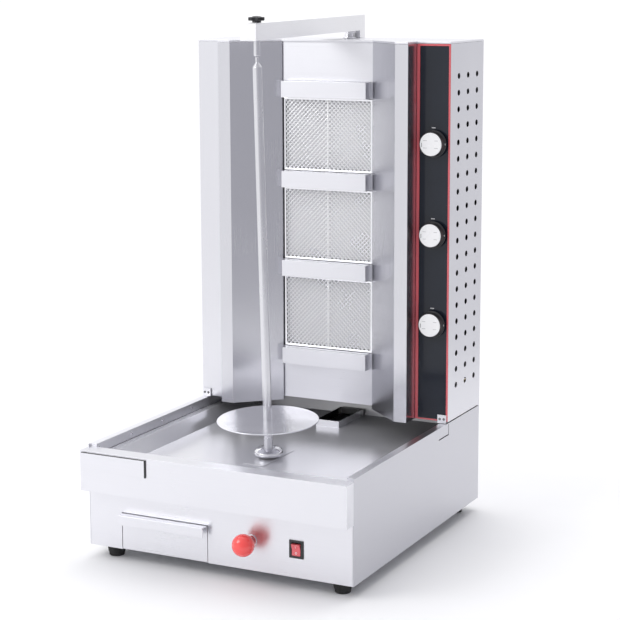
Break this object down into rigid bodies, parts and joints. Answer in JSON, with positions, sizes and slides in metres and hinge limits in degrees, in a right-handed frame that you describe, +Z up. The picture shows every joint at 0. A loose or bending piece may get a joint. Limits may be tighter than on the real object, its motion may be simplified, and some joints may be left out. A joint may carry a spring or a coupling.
{
  "type": "vertical rotisserie broiler",
  "caption": "Upright gas spit roaster: infrared burners stacked between folded reflectors, a driven spit over a drip tray, side knobs, grease drawer and a swing-away top arm.",
  "frame": {"origin": "on the surface the feet stand on, under the middle of the whole machine's box", "axes": "+X to the right of a person facing the machine's front, +Y to the back, +Z up"},
  "size_m": [0.53, 0.67, 0.9765],
  "materials": {
    "brushed_steel": "satin stainless sheet and bar",
    "mirror_steel": "mirror-polished stainless",
    "wing_steel": "brushed stainless heat reflectors, darker",
    "chrome": "polished",
    "zinc": "dull zinc-plated steel",
    "burner_iron": "heat-dulled casting",
    "brass": "turned and soldered",
    "gloss_black": "glossy black panel",
    "red_gloss": "glossy red border and rocker",
    "red_ball": "glossy red phenolic",
    "black_plastic": "moulded, matt",
    "rubber": "moulded black rubber",
    "ceramic": "pale fired honeycomb ceramic, matt"
  },
  "bodies": {
    "cabinet": {"base_floor": "zinc", "base_right_panel": "brushed_steel", "base_left_panel": "brushed_steel", "base_front_panel": "brushed_steel", "base_rear_panel": "brushed_steel", "tray_apron": "brushed_steel", "drip_tray": "mirror_steel", "foot_1": "rubber", "foot_2": "rubber", "foot_3": "rubber", "foot_4": "rubber", "switch_bezel": "black_plastic", "carriage_rails": "zinc", "pull_bush": "chrome", "right_side_cover": "brushed_steel", "left_side_cover": "brushed_steel", "right_wing": "wing_steel", "left_wing": "wing_steel", "top_cover": "brushed_steel", "back_cover": "brushed_steel", "left_front_panel": "brushed_steel", "burner_header": "brushed_steel", "burner_skirt": "brushed_steel", "burner_bar_1": "brushed_steel", "burner_bar_2": "brushed_steel", "burner_bar_3": "brushed_steel", "burner_bar_4": "brushed_steel", "burner_plate_1": "ceramic", "burner_plate_2": "ceramic", "burner_plate_3": "ceramic", "burner_guard_1": "brushed_steel", "burner_guard_2": "brushed_steel", "burner_guard_3": "brushed_steel", "burner_housing_1": "burner_iron", "burner_housing_2": "burner_iron", "burner_housing_3": "burner_iron", "control_panel": "gloss_black", "control_panel_trim": "red_gloss", "gas_train": "brass", "cable_gland": "black_plastic", "arm_pivot": "zinc"},
    "drawer": {"grease_drawer": "brushed_steel"},
    "rocker": {"switch_rocker": "red_gloss"},
    "carriage": {"drive_carriage": "mirror_steel", "gear_motor": "zinc", "pull_rod": "chrome", "pull_ball": "red_ball"},
    "spit_swivel": {"swivel_seat": "brass"},
    "spit": {"drive_boss": "chrome", "spit_rod": "brushed_steel", "meat_disc": "brushed_steel"},
    "arm": {"arm_channel": "brushed_steel"},
    "pin": {"top_pin": "brushed_steel"},
    "clamp_knob": {"star_knob": "black_plastic"},
    "stem_1": {"valve_stem_1": "zinc"},
    "knob_1": {"control_knob_1": "black_plastic"},
    "stem_2": {"valve_stem_2": "zinc"},
    "knob_2": {"control_knob_2": "black_plastic"},
    "stem_3": {"valve_stem_3": "zinc"},
    "knob_3": {"control_knob_3": "black_plastic"}
  },
  "joints": [
    {"name": "drawer_slide", "type": "slide", "parent": "cabinet", "child": "drawer", "axis": [0, -1, 0], "range_m": [0, 0.2]},
    {"name": "power_switch", "type": "hinge", "parent": "cabinet", "child": "rocker", "pos_m": [0.1569, -0.284, 0.0749], "axis": [-1, 0, 0], "range_deg": [0, 22]},
    {"name": "carriage_slide", "type": "slide", "parent": "cabinet", "child": "carriage", "axis": [0, -1, 0], "range_m": [0, 0.045]},
    {"name": "spit_tilt", "type": "hinge", "parent": "carriage", "child": "spit_swivel", "pos_m": [0, -0.087, 0.179], "axis": [1, 0, 0], "range_deg": [-3.6, 0]},
    {"name": "spit_spin", "type": "hinge", "parent": "spit_swivel", "child": "spit", "pos_m": [0, -0.087, 0.179], "axis": [0, -0.046, 0.9989], "continuous": true},
    {"name": "arm_swing", "type": "hinge", "parent": "cabinet", "child": "arm", "pos_m": [0, 0.263, 0.94], "axis": [0, 0, 1], "range_deg": [-110, 110]},
    {"name": "pin_lift", "type": "slide", "parent": "arm", "child": "pin", "axis": [0, 0, 1], "range_m": [0, 0.012]},
    {"name": "star_knob_turn", "type": "hinge", "parent": "pin", "child": "clamp_knob", "pos_m": [0, -0.1205, 0.97], "axis": [0, 0, 1], "range_deg": [0, 2880]},
    {"name": "knob_push_1", "type": "slide", "parent": "cabinet", "child": "stem_1", "axis": [0, 1, 0], "range_m": [0, 0.004], "stiffness_N_per_m": 600, "springref_m": -0.003},
    {"name": "knob_turn_1", "type": "hinge", "parent": "stem_1", "child": "knob_1", "pos_m": [0.2345, 0.128, 0.7395], "axis": [0, 1, 0], "range_deg": [0, 90]},
    {"name": "knob_push_2", "type": "slide", "parent": "cabinet", "child": "stem_2", "axis": [0, 1, 0], "range_m": [0, 0.004], "stiffness_N_per_m": 600, "springref_m": -0.003},
    {"name": "knob_turn_2", "type": "hinge", "parent": "stem_2", "child": "knob_2", "pos_m": [0.2345, 0.128, 0.5705], "axis": [0, 1, 0], "range_deg": [0, 90]},
    {"name": "knob_push_3", "type": "slide", "parent": "cabinet", "child": "stem_3", "axis": [0, 1, 0], "range_m": [0, 0.004], "stiffness_N_per_m": 600, "springref_m": -0.003},
    {"name": "knob_turn_3", "type": "hinge", "parent": "stem_3", "child": "knob_3", "pos_m": [0.2345, 0.128, 0.4015], "axis": [0, 1, 0], "range_deg": [0, 90]}
  ],
  "couplings": [
    {"joint": "spit_tilt", "follows": "carriage_slide", "rad_per_m": -1.3755},
    {"joint": "star_knob_turn", "follows": "pin_lift", "rad_per_m": 4188.7}
  ]
}
